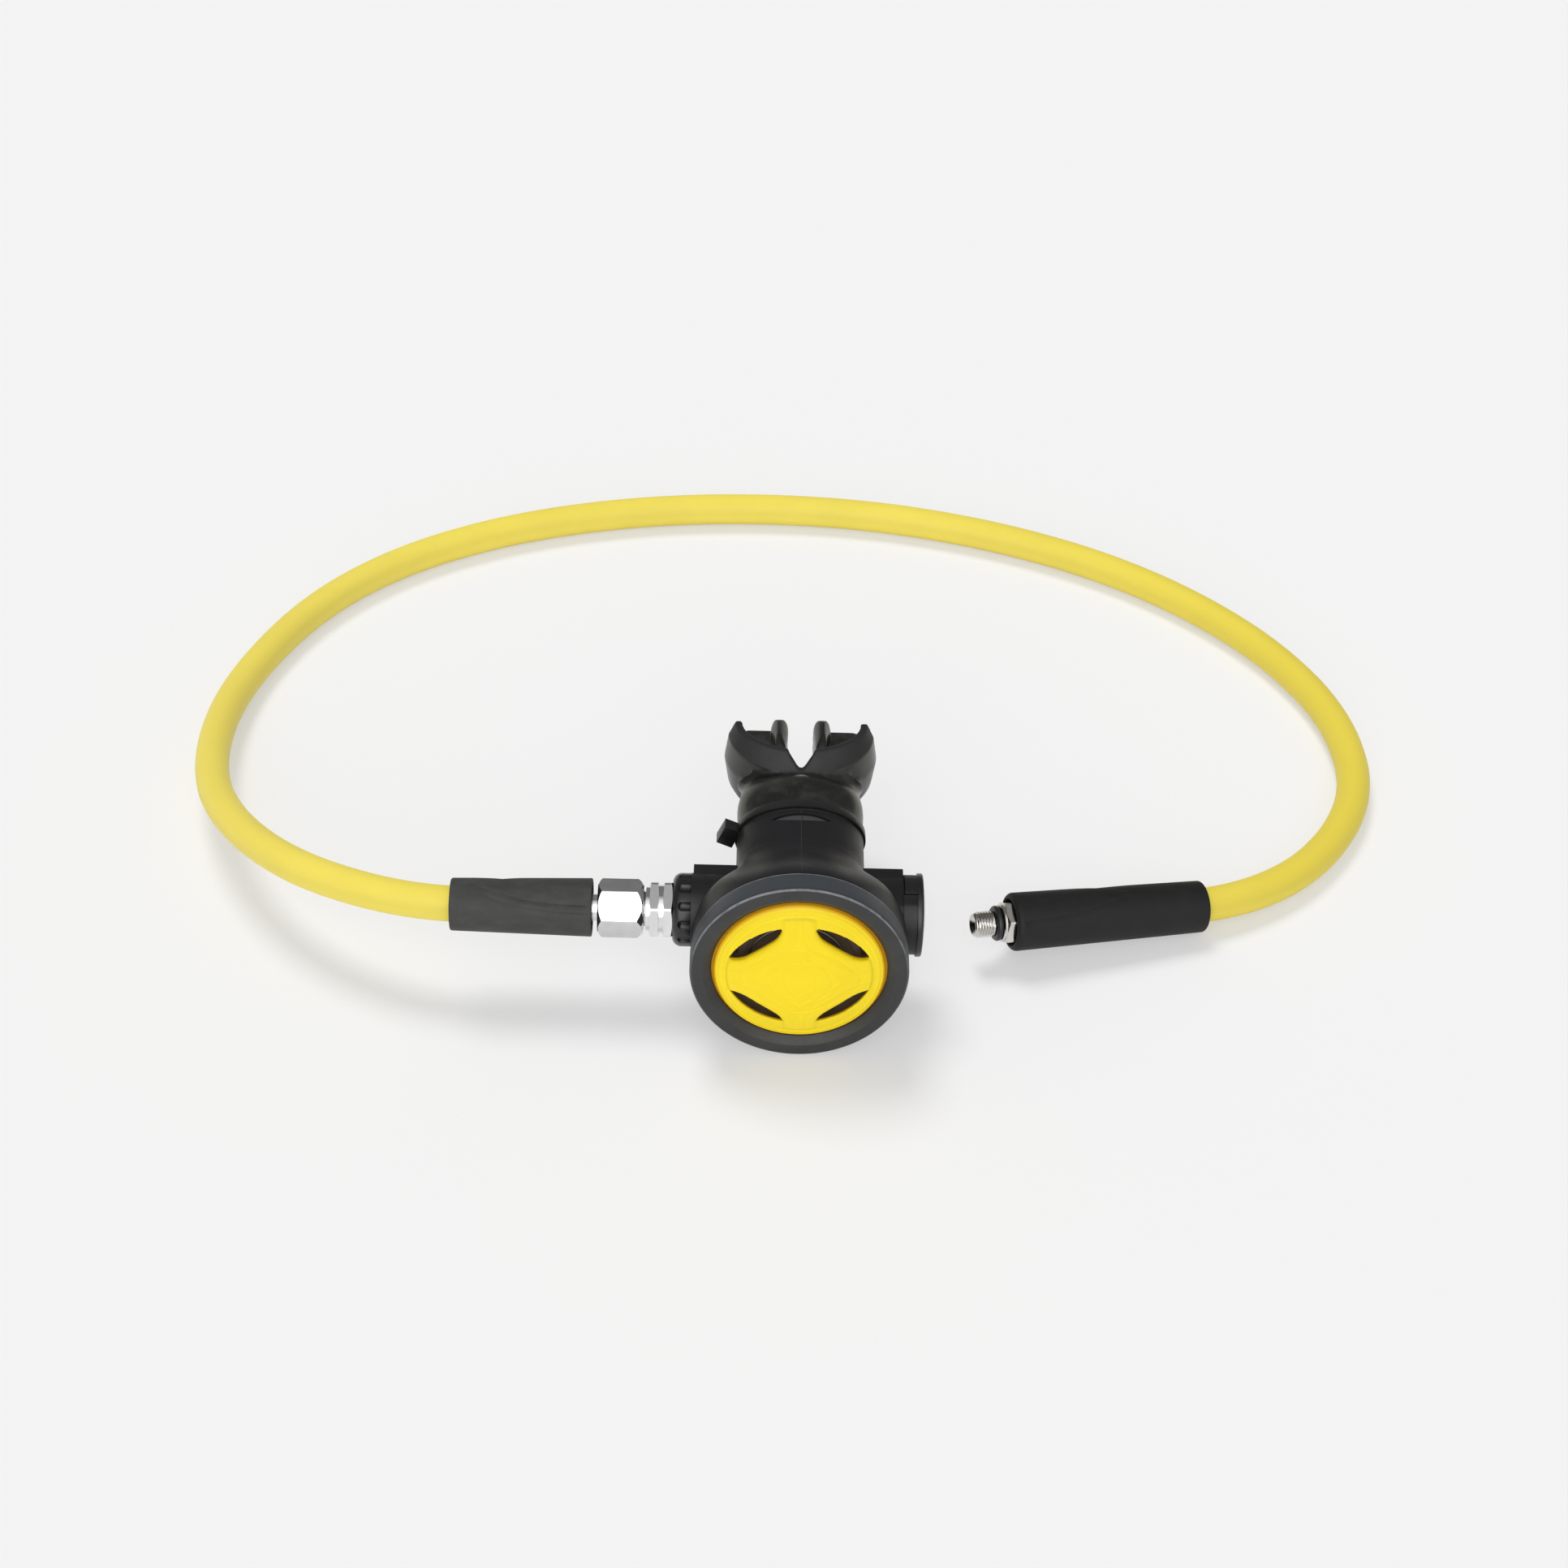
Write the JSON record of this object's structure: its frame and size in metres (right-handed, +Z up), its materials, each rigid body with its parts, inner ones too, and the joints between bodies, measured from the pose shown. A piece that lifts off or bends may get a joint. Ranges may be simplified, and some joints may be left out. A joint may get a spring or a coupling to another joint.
{
  "type": "scuba regulator second stage",
  "caption": "Second stage breathing regulator with a round purge cover, mouthpiece and a low-pressure hose that ends in a threaded port fitting.",
  "frame": {"origin": "on the resting surface, under the middle of the regulator's own box, hose left out", "axes": "+Y from the purge cover through to the mouthpiece, +X towards the end cap, +Z up"},
  "size_m": [0.4533, 0.3468, 0.0758],
  "materials": {
    "case_plastic": "fine-grained moulded black nylon",
    "ring_plastic": "fine-grained moulded charcoal nylon",
    "cover_plastic": "satin warm yellow",
    "chrome_plate": "bright chrome plate on brass",
    "fitting_steel": "chrome plate, turned marks",
    "inner_metal": "plain stainless",
    "poppet_plastic": "moulded natural plastic",
    "spring_wire": "drawn stainless wire",
    "mouth_silicone": "black silicone, glossy with a matt band",
    "clear_silicone": "grey silicone",
    "tee_rubber": "matt black rubber",
    "tie_nylon": "black nylon",
    "hose_cover": "matt lemon yellow",
    "sleeve_rubber": "dusty dark grey rubber",
    "ferrule_metal": "crimped plated brass",
    "seal_rubber": "black nitrile"
  },
  "bodies": {
    "case": {"case_body": "case_plastic", "mouth_tube": "case_plastic", "end_cap": "case_plastic", "lock_ring": "case_plastic", "diaphragm_retainer": "case_plastic", "air_deflector": "case_plastic", "front_ring": "ring_plastic", "inlet_fitting": "chrome_plate", "valve_tube": "chrome_plate", "hose_stem_inlet": "chrome_plate", "end_fitting": "fitting_steel", "orifice": "inner_metal", "lever_pivot_pin": "inner_metal", "purge_spring": "spring_wire", "poppet_spring": "spring_wire", "mouthpiece": "mouth_silicone", "diaphragm": "clear_silicone", "exhaust_valve": "clear_silicone", "exhaust_tee": "tee_rubber", "tie_strap": "tie_nylon", "hose": "hose_cover", "hose_sleeve_inlet": "sleeve_rubber", "hose_sleeve_free": "sleeve_rubber", "ferrule_inlet": "ferrule_metal", "ferrule_free": "ferrule_metal", "valve_o_rings": "seal_rubber", "orifice_o_ring": "seal_rubber", "end_cap_o_ring": "seal_rubber", "stem_o_ring": "seal_rubber", "end_fitting_o_ring": "seal_rubber"},
    "purge_button": {"purge_cover": "cover_plastic"},
    "diaphragm_centre": {"diaphragm_plate": "inner_metal"},
    "lever": {"demand_lever": "inner_metal"},
    "poppet_group": {"poppet": "poppet_plastic", "poppet_seat": "seal_rubber", "poppet_lock_nut": "inner_metal"},
    "nut": {"swivel_nut": "chrome_plate"}
  },
  "joints": [
    {"name": "purge_press", "type": "slide", "parent": "case", "child": "purge_button", "axis": [0, 1, 0], "range_m": [0, 0.003], "stiffness_N_per_m": 900, "springref_m": -0.002, "deforming": ["purge_spring", "poppet_spring"]},
    {"name": "diaphragm_stroke", "type": "slide", "parent": "case", "child": "diaphragm_centre", "axis": [0, 1, 0], "range_m": [0, 0.003], "deforming": ["diaphragm"]},
    {"name": "lever_swing", "type": "hinge", "parent": "case", "child": "lever", "pos_m": [0.02099, -0.03075, 0.0379], "axis": [0, 0, 1], "range_deg": [-12.5, 0]},
    {"name": "poppet_lift", "type": "slide", "parent": "case", "child": "poppet_group", "axis": [1, 0, 0], "range_m": [0, 0.001]},
    {"name": "nut_turn", "type": "hinge", "parent": "case", "child": "nut", "pos_m": [-0.05271, -0.02625, 0.0379], "axis": [1, 0, 0], "continuous": true}
  ],
  "couplings": [
    {"joint": "diaphragm_stroke", "follows": "purge_press", "ratio": 1},
    {"joint": "lever_swing", "follows": "purge_press", "rad_per_m": -70},
    {"joint": "poppet_lift", "follows": "purge_press", "ratio": 0.31}
  ]
}
